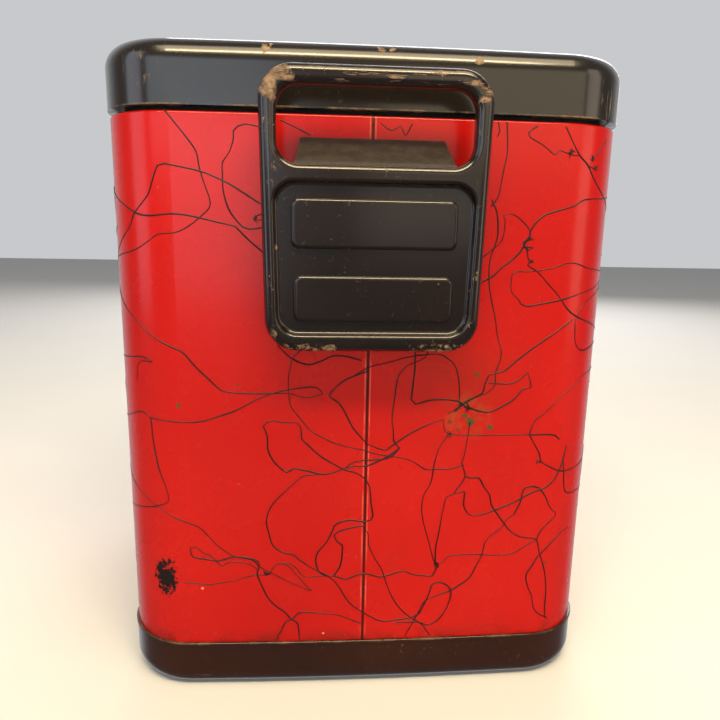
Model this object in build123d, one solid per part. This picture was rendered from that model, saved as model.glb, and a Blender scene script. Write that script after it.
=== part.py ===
from build123d import *
import os

# Picnic-size metal lunch box: an insulated double-walled tin with a hinged lid, a base pan and a
# stamped carrying plate on each end. Millimetres, +Z up. The origin is the centre of the flat base.
# The ends with the carrying plates face -Y and +Y, the hinges are at +X and the latch is at -X.

# ---- case
SHELL_WIDTH = 240.0         # along X, between the flat sides
SHELL_LENGTH = 252.0        # along Y, between the crowns of the bowed ends
CORNER_RADIUS = 34.0        # of the shell in plan
END_BOW = 3.0               # crown of each end panel
SHEET = 0.7                 # shell, base pan and lid cap
SHELL_BOTTOM = 12.0
SHELL_TOP = 280.0
ROLL = 3.0                  # width and height of the rolled top edge
ROLL_EDGE = 1.35            # rounding along its top
SEAM_GROOVE_WIDTH = 1.2
SEAM_GROOVE_DEPTH = 0.5
SEAM_FOLD_WIDTH = 9.0       # strip of folded sheet inside the lock seam
SEAM_FOLD = 0.9

# ---- base pan
BASE_HEIGHT = 26.0
BASE_EDGE_RADIUS = 10.0
BASE_GAP = 0.1              # between shell and pan wall
BASE_BEAD = 0.5             # how far the bead at the top of the pan stands out
BASE_BEAD_HEIGHT = 1.6
BASE_RECESS = 2.0           # the middle of the floor is pressed up, so that the box stands on a ring
BASE_RECESS_MARGIN = 26.0

# ---- liner and insulation
JACKET_SPACE = 10.0         # outside of the shell to outside of the liner
LINER_SHEET = 0.5
LINER_FLOOR = 15.0          # underside of the liner's floor
LINER_FLOOR_RADIUS = 3.0
LINER_TOP = SHELL_TOP - 1.0  # top face of the liner's rim
RIM_GAP = 0.2
JACKET_GAP = 1.6            # room for the seam fold and the rivet tails inside the shell
JACKET_CLEAR = 0.2

# ---- lid
LID_BOTTOM = SHELL_TOP + 2.0
LID_HEIGHT = 28.0
LID_TOP = LID_BOTTOM + LID_HEIGHT
LID_OVERHANG = 1.0
LID_EDGE_RADIUS = 10.0
HEM_WIDTH = 5.0             # flange turned in at the bottom of the skirt
PLUG_DEPTH = 9.0            # how far the lid pan reaches into the mouth, below the lid's bottom
PLUG_CLEAR = 1.7            # between the plug and the liner
PAN_SHEET = 0.5
PAN_FLANGE_GAP = 0.6        # between the edge of the pan's flange and the inside of the skirt
PAN_EDGE_RADIUS = 4.0
GASKET_WIDTH = 5.6
GASKET_GAP = 0.3            # above the liner's rim
LID_FILL_CLEAR = 1.6

# ---- carrying plates
PLATE_TOP = SHELL_TOP + 15.8
PLATE_HEIGHT = 116.0
PLATE_BOTTOM = PLATE_TOP - PLATE_HEIGHT
PLATE_TOP_WIDTH = 96.6
PLATE_BOTTOM_WIDTH = 92.0
PLATE_CORNER = 14.0
PLATE_STANDOFF = 21.0       # crown of the end panel to the front of the plate
PLATE_SHEET = 1.2
PLATE_SKIRT = 5.5           # depth of the turned-back edge
PLATE_EDGE_RADIUS = 4.0
OPENING_TOP = PLATE_TOP - 8.0
OPENING_HEIGHT = 30.3
OPENING_BOTTOM = OPENING_TOP - OPENING_HEIGHT
OPENING_WIDTH = PLATE_TOP_WIDTH - 15.2
OPENING_CORNER = 9.0
LIP_RADIUS = 3.0
FIELD_TOP = OPENING_BOTTOM - 7.0
FIELD_BOTTOM = PLATE_BOTTOM + 7.5
FIELD_MARGIN = 5.4          # rim left at each side of the field
FIELD_CORNER = 9.0
FIELD_DEPTH = 3.2
FIELD_EDGE = 1.5            # rounding where the rim drops into the field, and at the field's foot
PANEL_SPANS = ((FIELD_TOP - 27.0, FIELD_TOP - 6.5, 70.0),          # bottom, top, width
               (FIELD_BOTTOM + 5.5, FIELD_BOTTOM + 25.0, 68.0))
PANEL_CORNER = 3.4
PANEL_HEIGHT = 1.8
PANEL_EDGE = 1.5
TAB_NEAR_WIDTH = OPENING_WIDTH - 6.0
TAB_NECK_WIDTH = OPENING_WIDTH - 15.0       # a fifth of the way back
TAB_FAR_WIDTH = OPENING_WIDTH - 19.0
TAB_FAR_Z = OPENING_BOTTOM + 12.5
TAB_FLANGE = 6.0            # turned down against the shell, where it is spot-welded

# ---- brackets behind the plates
BRACKET_WEB = 30.0
BRACKET_FOOT = 13.0
BRACKET_BOTTOM = FIELD_BOTTOM + 4.5
BRACKET_TOP = FIELD_TOP - 4.5
BRACKET_SHEET = 1.5
BRACKET_BOW_GAP = 0.2       # the bowed end falls away from the flat foot by this much at the rivets
BRACKET_RIVET_MARGIN = 11.0  # rivet centres from the top and bottom of the foot

# ---- rivets
RIVET_RADIUS = 1.5
RIVET_HEAD_RADIUS = 2.8
RIVET_HEAD = 1.0
RIVET_HEAD_EDGE = 0.8
RIVET_TAIL_RADIUS = 2.1
RIVET_TAIL = 0.8
HOLE_CLEAR = 0.05

# ---- hinges
HINGE_OFFSET = 55.0         # centre of each hinge from the middle of the side
HINGE_WIDTH = 34.0
HINGE_SHEET = 1.2
HINGE_LEAF = 25.0           # bottom of the body leaf below the pin
HINGE_LEAF_RIVET = 14.0     # its rivets below the pin
LEAF_KNEE = 1.5             # the flat of the body leaf stops this far below the knuckles
LID_LEAF = 18.0             # top of the lid leaf above the pin
LID_LEAF_RIVET = 12.0
LID_LEAF_KNEE = 1.0
KNUCKLE_RADIUS = 3.0
KNUCKLE_GAP = 0.3
PIN_RADIUS = 1.4
PIN_FIT = 0.05
PIN_HEAD_RADIUS = 2.2
PIN_HEAD = 0.8
HINGE_RIVET_SPACING = 20.0

# ---- latch
LATCH_WIDTH = 40.0
LATCH_PLATE_HEIGHT = 24.0
LATCH_RIVET_DROP = 15.6     # rivets below the clasp's pin
LATCH_REACH = 28.0          # clasp pivot to the top of the keeper
CLASP_WIDTH = 28.0
CLASP_GAP = 0.4             # to the ears beside it, and over the keeper when fastened
CLASP_LIP = 2.9
CLASP_LIP_INSET = 5.0       # the lip is narrower than the strap by this much at each side
CLASP_CORNER = 4.0
KEEPER_WIDTH = 26.0
KEEPER_PROUD = 2.4
KEEPER_BAR = 2.6
KEEPER_HEIGHT = 8.6
KEEPER_SHEET = 1.0
KEEPER_RISE = 1.5           # bottom of the keeper above the bottom of the lid
KEEPER_RIVET_RISE = 4.6
LATCH_RIVET_SPACING = 22.0
KEEPER_RIVET_SPACING = 16.0

# ---- derived
HALF_W = SHELL_WIDTH / 2
HALF_L = SHELL_LENGTH / 2
LID_X = HALF_W + LID_OVERHANG
PLATE_FRONT = HALF_L + PLATE_STANDOFF
HINGE_X = HALF_W + HINGE_SHEET + KNUCKLE_GAP + KNUCKLE_RADIUS
HINGE_Z = (SHELL_TOP + LID_BOTTOM) / 2
KEEPER_TOP = LID_BOTTOM + KEEPER_RISE + KEEPER_HEIGHT
LATCH_X = -HINGE_X
LATCH_Z = KEEPER_TOP - LATCH_REACH
TURNS = {"X": (0, 90, 0), "-X": (0, -90, 0), "Y": (-90, 0, 0), "-Y": (90, 0, 0)}


def ring(points):
    """The points in pairs, round to the first."""
    return list(zip(points, points[1:] + points[:1]))


def outline(grow=0.0):
    """The shell's plan, grown outwards by so much: straight sides, bowed ends, round corners."""
    x = HALF_W + grow
    y = HALF_L - END_BOW + grow
    crown = HALF_L + grow
    sides = [
        Line((x, -y), (x, y)),
        ThreePointArc((x, y), (0, crown), (-x, y)),
        Line((-x, y), (-x, -y)),
        ThreePointArc((-x, -y), (0, -crown), (x, -y)),
    ]
    face = make_face(Wire(sides))
    return fillet(face.vertices(), CORNER_RADIUS + grow)


def block(grow, bottom, top):
    """The plan as a solid between two heights."""
    return extrude(Pos(0, 0, bottom) * outline(grow), amount=top - bottom)


def edges_at(solid, z):
    return solid.edges().filter_by(lambda e: abs(e.bounding_box().min.Z - z) < 1e-3
                                   and abs(e.bounding_box().max.Z - z) < 1e-3)


def box(x, y, z):
    """A box from (low, high) along each axis."""
    size = [span[1] - span[0] for span in (x, y, z)]
    middle = [(span[1] + span[0]) / 2 for span in (x, y, z)]
    return Pos(*middle) * Box(*size)


def cylinder_along(axis, radius, start, length):
    """A cylinder from a start point along "X", "-X", "Y" or "-Y"."""
    body = Cylinder(radius, length, align=(Align.CENTER, Align.CENTER, Align.MIN))
    return Pos(*start) * Rot(*TURNS[axis]) * body


def rivet(axis, point, grip):
    """Head on the outside at the point, shank through the grip, tail on the inside."""
    flat = Cylinder(RIVET_HEAD_RADIUS, RIVET_HEAD, align=(Align.CENTER, Align.CENTER, Align.MAX))
    head = fillet(flat.edges().group_by(Axis.Z)[0], RIVET_HEAD_EDGE)
    shank = Cylinder(RIVET_RADIUS, grip, align=(Align.CENTER, Align.CENTER, Align.MIN))
    tail = Cylinder(RIVET_TAIL_RADIUS, RIVET_TAIL, align=(Align.CENTER, Align.CENTER, Align.MIN))
    return Pos(*point) * Rot(*TURNS[axis]) * (head + shank + Pos(0, 0, grip) * tail)


def rivet_hole(axis, point, grip):
    """The hole for such a rivet, from just outside the head to just past the grip."""
    back = {"X": (-1, 0, 0), "-X": (1, 0, 0), "Y": (0, -1, 0), "-Y": (0, 1, 0)}[axis]
    start = [p + 0.5 * b for p, b in zip(point, back)]
    return cylinder_along(axis, RIVET_RADIUS + HOLE_CLEAR, start, grip + 1.0)


# ---- where the rivets are: one list per group, each with its direction and its grip

BRACKET_RIVET_X = BRACKET_WEB / 2 + BRACKET_FOOT / 2
BRACKET_RIVET_Z = (BRACKET_BOTTOM + BRACKET_RIVET_MARGIN, BRACKET_TOP - BRACKET_RIVET_MARGIN)
BRACKET_RIVETS = [("Y", (x, -HALF_L - BRACKET_SHEET, z), BRACKET_SHEET + SHEET + BRACKET_BOW_GAP)
                  for x in (-BRACKET_RIVET_X, BRACKET_RIVET_X) for z in BRACKET_RIVET_Z]
BODY_HINGE_RIVETS = [("-X", (HALF_W + HINGE_SHEET, side * HINGE_OFFSET + dy, HINGE_Z - HINGE_LEAF_RIVET),
                      HINGE_SHEET + SHEET)
                     for side in (-1, 1) for dy in (-HINGE_RIVET_SPACING / 2, HINGE_RIVET_SPACING / 2)]
LID_HINGE_RIVETS = [("-X", (LID_X + HINGE_SHEET, side * HINGE_OFFSET + dy, HINGE_Z + LID_LEAF_RIVET),
                     HINGE_SHEET + SHEET)
                    for side in (-1, 1) for dy in (-HINGE_RIVET_SPACING / 2, HINGE_RIVET_SPACING / 2)]
LATCH_RIVETS = [("X", (-HALF_W - HINGE_SHEET, dy, LATCH_Z - LATCH_RIVET_DROP), HINGE_SHEET + SHEET)
                for dy in (-LATCH_RIVET_SPACING / 2, LATCH_RIVET_SPACING / 2)]
KEEPER_RIVETS = [("X", (-LID_X - KEEPER_SHEET, dy, LID_BOTTOM + KEEPER_RIVET_RISE), KEEPER_SHEET + SHEET)
                 for dy in (-KEEPER_RIVET_SPACING / 2, KEEPER_RIVET_SPACING / 2)]


def turned(shape):
    """The same thing on the +Y end."""
    return Rot(0, 0, 180) * shape


def group(rivets):
    return Compound(children=[rivet(*r) for r in rivets])


def drill(solid, rivets):
    for r in rivets:
        solid -= rivet_hole(*r)
    return solid


# ---- case

def make_shell():
    """Enamelled sheet wrapped round and closed by a lock seam in the middle of the -Y end."""
    wall = block(0, SHELL_BOTTOM, SHELL_TOP) - block(-SHEET, SHELL_BOTTOM - 1, SHELL_TOP + 1)
    roll = block(0, SHELL_TOP - ROLL, SHELL_TOP) - block(-ROLL, SHELL_TOP - ROLL - 1, SHELL_TOP + 1)
    roll = fillet(edges_at(roll, SHELL_TOP), ROLL_EDGE)
    wall = wall - block(1, SHELL_TOP - ROLL, SHELL_TOP + 1) + roll
    fold = box((-SEAM_FOLD_WIDTH / 2, SEAM_FOLD_WIDTH / 2),
               (-HALF_L + SHEET / 2, -HALF_L + SHEET + SEAM_FOLD),
               (SHELL_BOTTOM, SHELL_TOP - ROLL))
    groove = box((-SEAM_GROOVE_WIDTH / 2, SEAM_GROOVE_WIDTH / 2),
                 (-HALF_L - 1, -HALF_L + SEAM_GROOVE_DEPTH),
                 (BASE_HEIGHT, SHELL_TOP - ROLL))
    shell = drill(wall + fold - groove, BRACKET_RIVETS + BODY_HINGE_RIVETS + LATCH_RIVETS)
    for r in BRACKET_RIVETS:
        shell -= turned(rivet_hole(*r))
    return shell


def make_base_pan():
    """Black pan over the bottom of the shell, with a big round edge and a bead round its top."""
    outer = block(BASE_GAP + SHEET, 0, BASE_HEIGHT)
    outer = fillet(edges_at(outer, 0), BASE_EDGE_RADIUS)
    inner = block(BASE_GAP, SHEET, BASE_HEIGHT + 1)
    inner = fillet(edges_at(inner, SHEET), BASE_EDGE_RADIUS - SHEET)
    bead = block(BASE_GAP + SHEET + BASE_BEAD, BASE_HEIGHT - BASE_BEAD_HEIGHT, BASE_HEIGHT)
    bead = fillet(edges_at(bead, BASE_HEIGHT), BASE_BEAD)
    recess = block(-BASE_RECESS_MARGIN, -1, BASE_RECESS)
    raised = block(SHEET - BASE_RECESS_MARGIN, 0, BASE_RECESS + SHEET)
    return outer + bead - (inner - raised) - recess


def make_liner():
    """Bright inner tub whose rim covers the gap between the walls."""
    outer = block(-JACKET_SPACE, LINER_FLOOR, LINER_TOP)
    outer = fillet(edges_at(outer, LINER_FLOOR), LINER_FLOOR_RADIUS)
    inner = block(-JACKET_SPACE - LINER_SHEET, LINER_FLOOR + LINER_SHEET, LINER_TOP + 1)
    inner = fillet(edges_at(inner, LINER_FLOOR + LINER_SHEET), LINER_FLOOR_RADIUS - LINER_SHEET)
    rim = block(-ROLL - RIM_GAP, LINER_TOP - LINER_SHEET, LINER_TOP)
    return outer + rim - inner


def make_jacket():
    """Glass wool between liner and shell, under the liner's floor too."""
    top = LINER_TOP - LINER_SHEET - JACKET_CLEAR
    outer = block(-SHEET - JACKET_GAP, SHELL_BOTTOM, top)
    outer -= block(1, SHELL_TOP - ROLL - 1, top + 1) - block(-ROLL - RIM_GAP, SHELL_TOP - ROLL - 1, top + 1)
    pad = block(-SHELL_BOTTOM, BASE_RECESS + SHEET + JACKET_CLEAR, SHELL_BOTTOM)
    tub = block(-JACKET_SPACE + JACKET_CLEAR, LINER_FLOOR - JACKET_CLEAR, top + 1)
    tub = fillet(edges_at(tub, LINER_FLOOR - JACKET_CLEAR), LINER_FLOOR_RADIUS)
    return outer + pad - tub


# ---- lid

def make_lid_cap():
    """Black cap with a deep skirt; the skirt's bottom is turned in as a hem."""
    outer = block(LID_OVERHANG, LID_BOTTOM, LID_TOP)
    outer = fillet(edges_at(outer, LID_TOP), LID_EDGE_RADIUS)
    inner = block(LID_OVERHANG - SHEET, LID_BOTTOM - 1, LID_TOP - SHEET)
    inner = fillet(edges_at(inner, LID_TOP - SHEET), LID_EDGE_RADIUS - SHEET)
    hem = block(LID_OVERHANG - SHEET / 2, LID_BOTTOM, LID_BOTTOM + SHEET)
    hem -= block(LID_OVERHANG - HEM_WIDTH, LID_BOTTOM - 1, LID_BOTTOM + SHEET + 1)
    return drill(outer - inner + hem, LID_HINGE_RIVETS + KEEPER_RIVETS)


def plug_grow():
    return -JACKET_SPACE - LINER_SHEET - PLUG_CLEAR


def make_lid_pan():
    """Bright pan that closes the lid from below and reaches into the mouth of the liner."""
    flange_bottom = LID_BOTTOM + SHEET
    flange = block(LID_OVERHANG - SHEET - PAN_FLANGE_GAP, flange_bottom, flange_bottom + PAN_SHEET)
    outer = block(plug_grow(), LID_BOTTOM - PLUG_DEPTH, flange_bottom + PAN_SHEET)
    outer = fillet(edges_at(outer, LID_BOTTOM - PLUG_DEPTH), PAN_EDGE_RADIUS)
    inner = block(plug_grow() - PAN_SHEET, LID_BOTTOM - PLUG_DEPTH + PAN_SHEET, LID_TOP)
    inner = fillet(edges_at(inner, LID_BOTTOM - PLUG_DEPTH + PAN_SHEET), PAN_EDGE_RADIUS - PAN_SHEET)
    return flange + outer - inner


def make_lid_fill():
    """Glass wool inside the lid."""
    low = LID_BOTTOM + SHEET + PAN_SHEET
    upper = block(LID_OVERHANG - SHEET - LID_FILL_CLEAR, low + JACKET_CLEAR, LID_TOP - SHEET - JACKET_CLEAR)
    upper = fillet(edges_at(upper, LID_TOP - SHEET - JACKET_CLEAR), LID_EDGE_RADIUS)
    lower = block(plug_grow() - PAN_SHEET - JACKET_CLEAR, LID_BOTTOM - PLUG_DEPTH + PAN_SHEET + JACKET_CLEAR,
                  low + 1)
    lower = fillet(edges_at(lower, LID_BOTTOM - PLUG_DEPTH + PAN_SHEET + JACKET_CLEAR), PAN_EDGE_RADIUS)
    return upper + lower


def make_gasket():
    """Rubber ring glued under the pan's flange; it lands on the liner's rim."""
    inner = plug_grow() + JACKET_CLEAR
    strip = block(inner + GASKET_WIDTH, LINER_TOP + GASKET_GAP, LID_BOTTOM + SHEET)
    return strip - block(inner, LINER_TOP, LID_BOTTOM + SHEET + 1)


# ---- carrying plates

def trapezoid(top, bottom, top_width, bottom_width, corner):
    """A rounded trapezoid in the XZ plane, as a face at y = 0 that looks towards -Y."""
    points = [(-bottom_width / 2, bottom), (bottom_width / 2, bottom),
              (top_width / 2, top), (-top_width / 2, top)]
    face = make_face(Wire([Line(a, b) for a, b in ring(points)]))
    return Rot(90, 0, 0) * fillet(face.vertices(), corner)


def plate_width(z):
    share = (z - PLATE_BOTTOM) / (PLATE_TOP - PLATE_BOTTOM)
    return PLATE_BOTTOM_WIDTH + share * (PLATE_TOP_WIDTH - PLATE_BOTTOM_WIDTH)


def slab(face, front, back):
    """The face as a solid from its front to its back, both given as distances towards -Y."""
    return extrude(Pos(0, -back, 0) * face, amount=front - back, dir=(0, -1, 0))


def edges_in_front(solid, y):
    return solid.edges().filter_by(lambda e: abs(e.bounding_box().min.Y + y) < 1e-3
                                   and abs(e.bounding_box().max.Y + y) < 1e-3)


def plate_relief(inset, back):
    """The plate's front as a solid block. The same block, inset by the sheet, is its hollow back."""
    front = PLATE_FRONT - inset
    face = trapezoid(PLATE_TOP - inset, PLATE_BOTTOM + inset, PLATE_TOP_WIDTH - 2 * inset,
                     PLATE_BOTTOM_WIDTH - 2 * inset, PLATE_CORNER - inset)
    body = slab(face, front, back)
    body = fillet(edges_in_front(body, front), PLATE_EDGE_RADIUS - inset)
    hole = trapezoid(OPENING_TOP + inset, OPENING_BOTTOM - inset, OPENING_WIDTH + 2 * inset,
                     OPENING_WIDTH + 2 * inset, OPENING_CORNER + inset)
    body -= slab(hole, front + 1, back - 1)
    body = fillet(opening_edges(body, front), LIP_RADIUS - inset)
    field = trapezoid(FIELD_TOP + inset, FIELD_BOTTOM - inset,
                      plate_width(FIELD_TOP) - 2 * (FIELD_MARGIN - inset),
                      plate_width(FIELD_BOTTOM) - 2 * (FIELD_MARGIN - inset), FIELD_CORNER + inset)
    pocket = slab(field, front + 1, front - FIELD_DEPTH)
    body -= fillet(edges_in_front(pocket, front - FIELD_DEPTH), FIELD_EDGE)
    if inset == 0:
        body = fillet(field_edges(body, front), FIELD_EDGE)
    for low, high, width in PANEL_SPANS:
        panel = trapezoid(high - inset, low + inset, width - 2 * inset, width - 2 * inset, PANEL_CORNER)
        raised = slab(panel, front - FIELD_DEPTH + PANEL_HEIGHT, front - FIELD_DEPTH - 0.5)
        body += fillet(edges_in_front(raised, front - FIELD_DEPTH + PANEL_HEIGHT), PANEL_EDGE)
    return body


def opening_edges(solid, front):
    """Edges of the hand opening in the plane of the plate's front."""
    reach = OPENING_WIDTH / 2 + 2
    return [e for e in edges_in_front(solid, front)
            if abs(e.center().X) < reach and OPENING_BOTTOM - 2 < e.center().Z < OPENING_TOP + 2]


def field_edges(solid, front):
    """Edges round the sunk field in the plane of the plate's front."""
    reach = plate_width(FIELD_TOP) / 2 - FIELD_MARGIN + 1
    return [e for e in edges_in_front(solid, front)
            if abs(e.center().X) < reach and FIELD_BOTTOM - 1 < e.center().Z < FIELD_TOP + 1]


def make_tab():
    """The metal cut from the hand opening, folded back and up to the end panel."""
    near_y = PLATE_FRONT - PLATE_SHEET
    near_z = OPENING_BOTTOM - PLATE_SHEET
    far_y = HALF_L + PLATE_SHEET
    far_z = TAB_FAR_Z - PLATE_SHEET
    side = [(-near_y, near_z), (-far_y, TAB_FAR_Z), (-HALF_L, TAB_FAR_Z), (-HALF_L, far_z - TAB_FLANGE),
            (-far_y, far_z - TAB_FLANGE), (-far_y, far_z), (-near_y, near_z - PLATE_SHEET)]
    profile = make_face(Wire([Line((0, *a), (0, *b)) for a, b in ring(side)]))
    ramp = extrude(profile, amount=TAB_NEAR_WIDTH / 2, dir=(1, 0, 0), both=True)
    neck_y = PLATE_FRONT - PLATE_STANDOFF / 5
    right = [(TAB_NEAR_WIDTH / 2, -PLATE_FRONT), (TAB_NECK_WIDTH / 2, -neck_y), (TAB_FAR_WIDTH / 2, -HALF_L)]
    left = [(-x, y) for x, y in reversed(right)]
    taper = make_face(Wire([Line(a, b) for a, b in ring(right + left)]))
    return ramp & extrude(Pos(0, 0, PLATE_BOTTOM) * taper, amount=PLATE_TOP - PLATE_BOTTOM)


def make_handle():
    """Stamped plate: turned-back edge, hand opening with a turned-in lip, sunk field with two raised
    panels, and the tab."""
    back = PLATE_FRONT - PLATE_SKIRT
    plate = plate_relief(0, back) - plate_relief(PLATE_SHEET, back - 1)
    return plate + make_tab()


def make_bracket():
    """Hat-section bracket that carries the lower part of the plate off the end panel."""
    web_front = PLATE_FRONT - PLATE_SHEET - FIELD_DEPTH
    z = (BRACKET_BOTTOM, BRACKET_TOP)
    half = BRACKET_WEB / 2
    hat = box((-half, half), (-web_front, -HALF_L), z)
    hat -= box((BRACKET_SHEET - half, half - BRACKET_SHEET), (BRACKET_SHEET - web_front, 1 - HALF_L), z)
    for x in ((-half - BRACKET_FOOT, -half), (half, half + BRACKET_FOOT)):
        hat += box(x, (-HALF_L - BRACKET_SHEET, -HALF_L), z)
    return drill(hat, BRACKET_RIVETS)


# ---- hinges

def knuckle(x, z, y_span, bore):
    tube = cylinder_along("Y", KNUCKLE_RADIUS, (x, y_span[0], z), y_span[1] - y_span[0])
    return tube - cylinder_along("Y", bore, (x, y_span[0] - 1, z), y_span[1] - y_span[0] + 2)


def prism_xz(points, y_span):
    """A polygon in the XZ plane as a solid along Y."""
    face = make_face(Wire([Line(a, b) for a, b in ring(points)]))
    return extrude(Pos(0, y_span[1], 0) * Rot(90, 0, 0) * face, amount=y_span[1] - y_span[0])


def bore_cut(x, z, y_span, radius):
    return cylinder_along("Y", radius, (x, y_span[0] - 1, z), y_span[1] - y_span[0] + 2)


def knuckle_spans(middle):
    """Two outer knuckles for the body leaf and one between them for the lid leaf."""
    third = HINGE_WIDTH / 3
    low = middle - HINGE_WIDTH / 2
    outer = [(low, low + third - KNUCKLE_GAP / 2), (low + 2 * third + KNUCKLE_GAP / 2, low + HINGE_WIDTH)]
    return outer, (low + third + KNUCKLE_GAP / 2, low + 2 * third - KNUCKLE_GAP / 2)


def make_body_leaf(middle):
    """Leaf riveted to the shell, with the two outer knuckles."""
    outer_spans, _ = knuckle_spans(middle)
    top = HINGE_Z - KNUCKLE_RADIUS - LEAF_KNEE
    whole = (middle - HINGE_WIDTH / 2, middle + HINGE_WIDTH / 2)
    leaf = box((HALF_W, HALF_W + HINGE_SHEET), whole, (HINGE_Z - HINGE_LEAF, top))
    for span in outer_spans:
        leaf += prism_xz([(HALF_W, top), (HALF_W + HINGE_SHEET, top), (HINGE_X, HINGE_Z - KNUCKLE_RADIUS),
                          (HINGE_X, HINGE_Z), (HINGE_X - KNUCKLE_RADIUS, HINGE_Z), (HALF_W, top + 2)], span)
        leaf += knuckle(HINGE_X, HINGE_Z, span, PIN_RADIUS)
    leaf -= bore_cut(HINGE_X, HINGE_Z, whole, PIN_RADIUS)
    return drill(leaf, BODY_HINGE_RIVETS)


def make_lid_leaf(middle):
    """Leaf riveted to the lid's skirt, with the middle knuckle."""
    _, span = knuckle_spans(middle)
    low = HINGE_Z + KNUCKLE_RADIUS + LID_LEAF_KNEE
    whole = (middle - HINGE_WIDTH / 2, middle + HINGE_WIDTH / 2)
    leaf = box((LID_X, LID_X + HINGE_SHEET), whole, (low, HINGE_Z + LID_LEAF))
    leaf += prism_xz([(LID_X, low), (LID_X, HINGE_Z + HINGE_SHEET), (HINGE_X - KNUCKLE_RADIUS, HINGE_Z),
                      (HINGE_X, HINGE_Z), (HINGE_X, HINGE_Z + KNUCKLE_RADIUS), (LID_X + HINGE_SHEET, low)], span)
    leaf += knuckle(HINGE_X, HINGE_Z, span, PIN_RADIUS + PIN_FIT)
    leaf -= bore_cut(HINGE_X, HINGE_Z, whole, PIN_RADIUS + PIN_FIT)
    return drill(leaf, LID_HINGE_RIVETS)


def make_pin(x, z, half, middle=0.0):
    """Pin along Y with a peened head at each end."""
    pin = cylinder_along("Y", PIN_RADIUS, (x, middle - half, z), 2 * half)
    pin += cylinder_along("Y", PIN_HEAD_RADIUS, (x, middle + half, z), PIN_HEAD)
    return pin + cylinder_along("-Y", PIN_HEAD_RADIUS, (x, middle - half, z), PIN_HEAD)


# ---- latch

def make_latch_plate():
    """Plate riveted to the -X side, with an ear at each end that carries the clasp's pin."""
    half = LATCH_WIDTH / 2
    inner = CLASP_WIDTH / 2 + CLASP_GAP
    top = LATCH_Z - KNUCKLE_RADIUS
    plate = box((-HALF_W - HINGE_SHEET, -HALF_W), (-half, half), (LATCH_Z - LATCH_PLATE_HEIGHT, top))
    for span in ((-half, -inner), (inner, half)):
        plate += prism_xz([(-HALF_W, top), (-HALF_W - HINGE_SHEET, top), (LATCH_X, LATCH_Z - KNUCKLE_RADIUS),
                           (LATCH_X, LATCH_Z), (LATCH_X, LATCH_Z + KNUCKLE_RADIUS), (-HALF_W, LATCH_Z)], span)
        plate += knuckle(LATCH_X, LATCH_Z, span, PIN_RADIUS)
    plate -= bore_cut(LATCH_X, LATCH_Z, (-half, half), PIN_RADIUS)
    return drill(plate, LATCH_RIVETS)


def make_clasp():
    """Spring-steel clasp, hanging down open. Swung up, its lip snaps over the keeper on the lid."""
    half = CLASP_WIDTH / 2
    end = LATCH_Z - LATCH_REACH - CLASP_GAP
    sheet = HINGE_SHEET / 2
    strap = box((LATCH_X - sheet, LATCH_X + sheet), (-half, half), (end - HINGE_SHEET, LATCH_Z - 1))
    strap = fillet([e for e in strap.edges().filter_by(Axis.X) if e.center().Z < end], CLASP_CORNER)
    strap += box((LATCH_X - CLASP_LIP, LATCH_X), (CLASP_LIP_INSET - half, half - CLASP_LIP_INSET),
                 (end - HINGE_SHEET, end))
    strap += cylinder_along("Y", KNUCKLE_RADIUS, (LATCH_X, -half, LATCH_Z), CLASP_WIDTH)
    return strap - bore_cut(LATCH_X, LATCH_Z, (-half, half), PIN_RADIUS + PIN_FIT)


def make_keeper():
    """Keeper riveted to the lid's skirt, with a bar along its top for the clasp."""
    half = KEEPER_WIDTH / 2
    low = LID_BOTTOM + KEEPER_RISE
    keeper = box((-LID_X - KEEPER_SHEET, -LID_X), (-half, half), (low, KEEPER_TOP))
    keeper += box((-LID_X - KEEPER_PROUD, -LID_X), (-half, half), (KEEPER_TOP - KEEPER_BAR, KEEPER_TOP))
    return drill(keeper, KEEPER_RIVETS)


def save(name, shape):
    export_step(shape, f"parts/{name}.step")


os.makedirs("parts", exist_ok=True)
save("shell", make_shell())
save("base_pan", make_base_pan())
save("liner", make_liner())
save("jacket_insulation", make_jacket())
save("lid_cap", make_lid_cap())
save("lid_pan", make_lid_pan())
save("lid_insulation", make_lid_fill())
save("lid_gasket", make_gasket())
handle = make_handle()
bracket = make_bracket()
bracket_rivets = group(BRACKET_RIVETS)
save("handle_front", handle)
save("handle_rear", turned(handle))
save("bracket_front", bracket)
save("bracket_rear", turned(bracket))
save("bracket_rivets_front", bracket_rivets)
save("bracket_rivets_rear", turned(bracket_rivets))
for side, middle in (("left", -HINGE_OFFSET), ("right", HINGE_OFFSET)):
    save(f"hinge_body_leaf_{side}", make_body_leaf(middle))
    save(f"hinge_lid_leaf_{side}", make_lid_leaf(middle))
    save(f"hinge_pin_{side}", make_pin(HINGE_X, HINGE_Z, HINGE_WIDTH / 2, middle))
save("hinge_rivets_body", group(BODY_HINGE_RIVETS))
save("hinge_rivets_lid", group(LID_HINGE_RIVETS))
save("latch_plate", make_latch_plate())
save("latch_pin", make_pin(LATCH_X, LATCH_Z, LATCH_WIDTH / 2))
save("latch_clasp", make_clasp())
save("latch_rivets", group(LATCH_RIVETS))
save("keeper", make_keeper())
save("keeper_rivets", group(KEEPER_RIVETS))
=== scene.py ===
import math
import random

import bmesh
import bpy
from mathutils import Matrix, Vector


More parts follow.
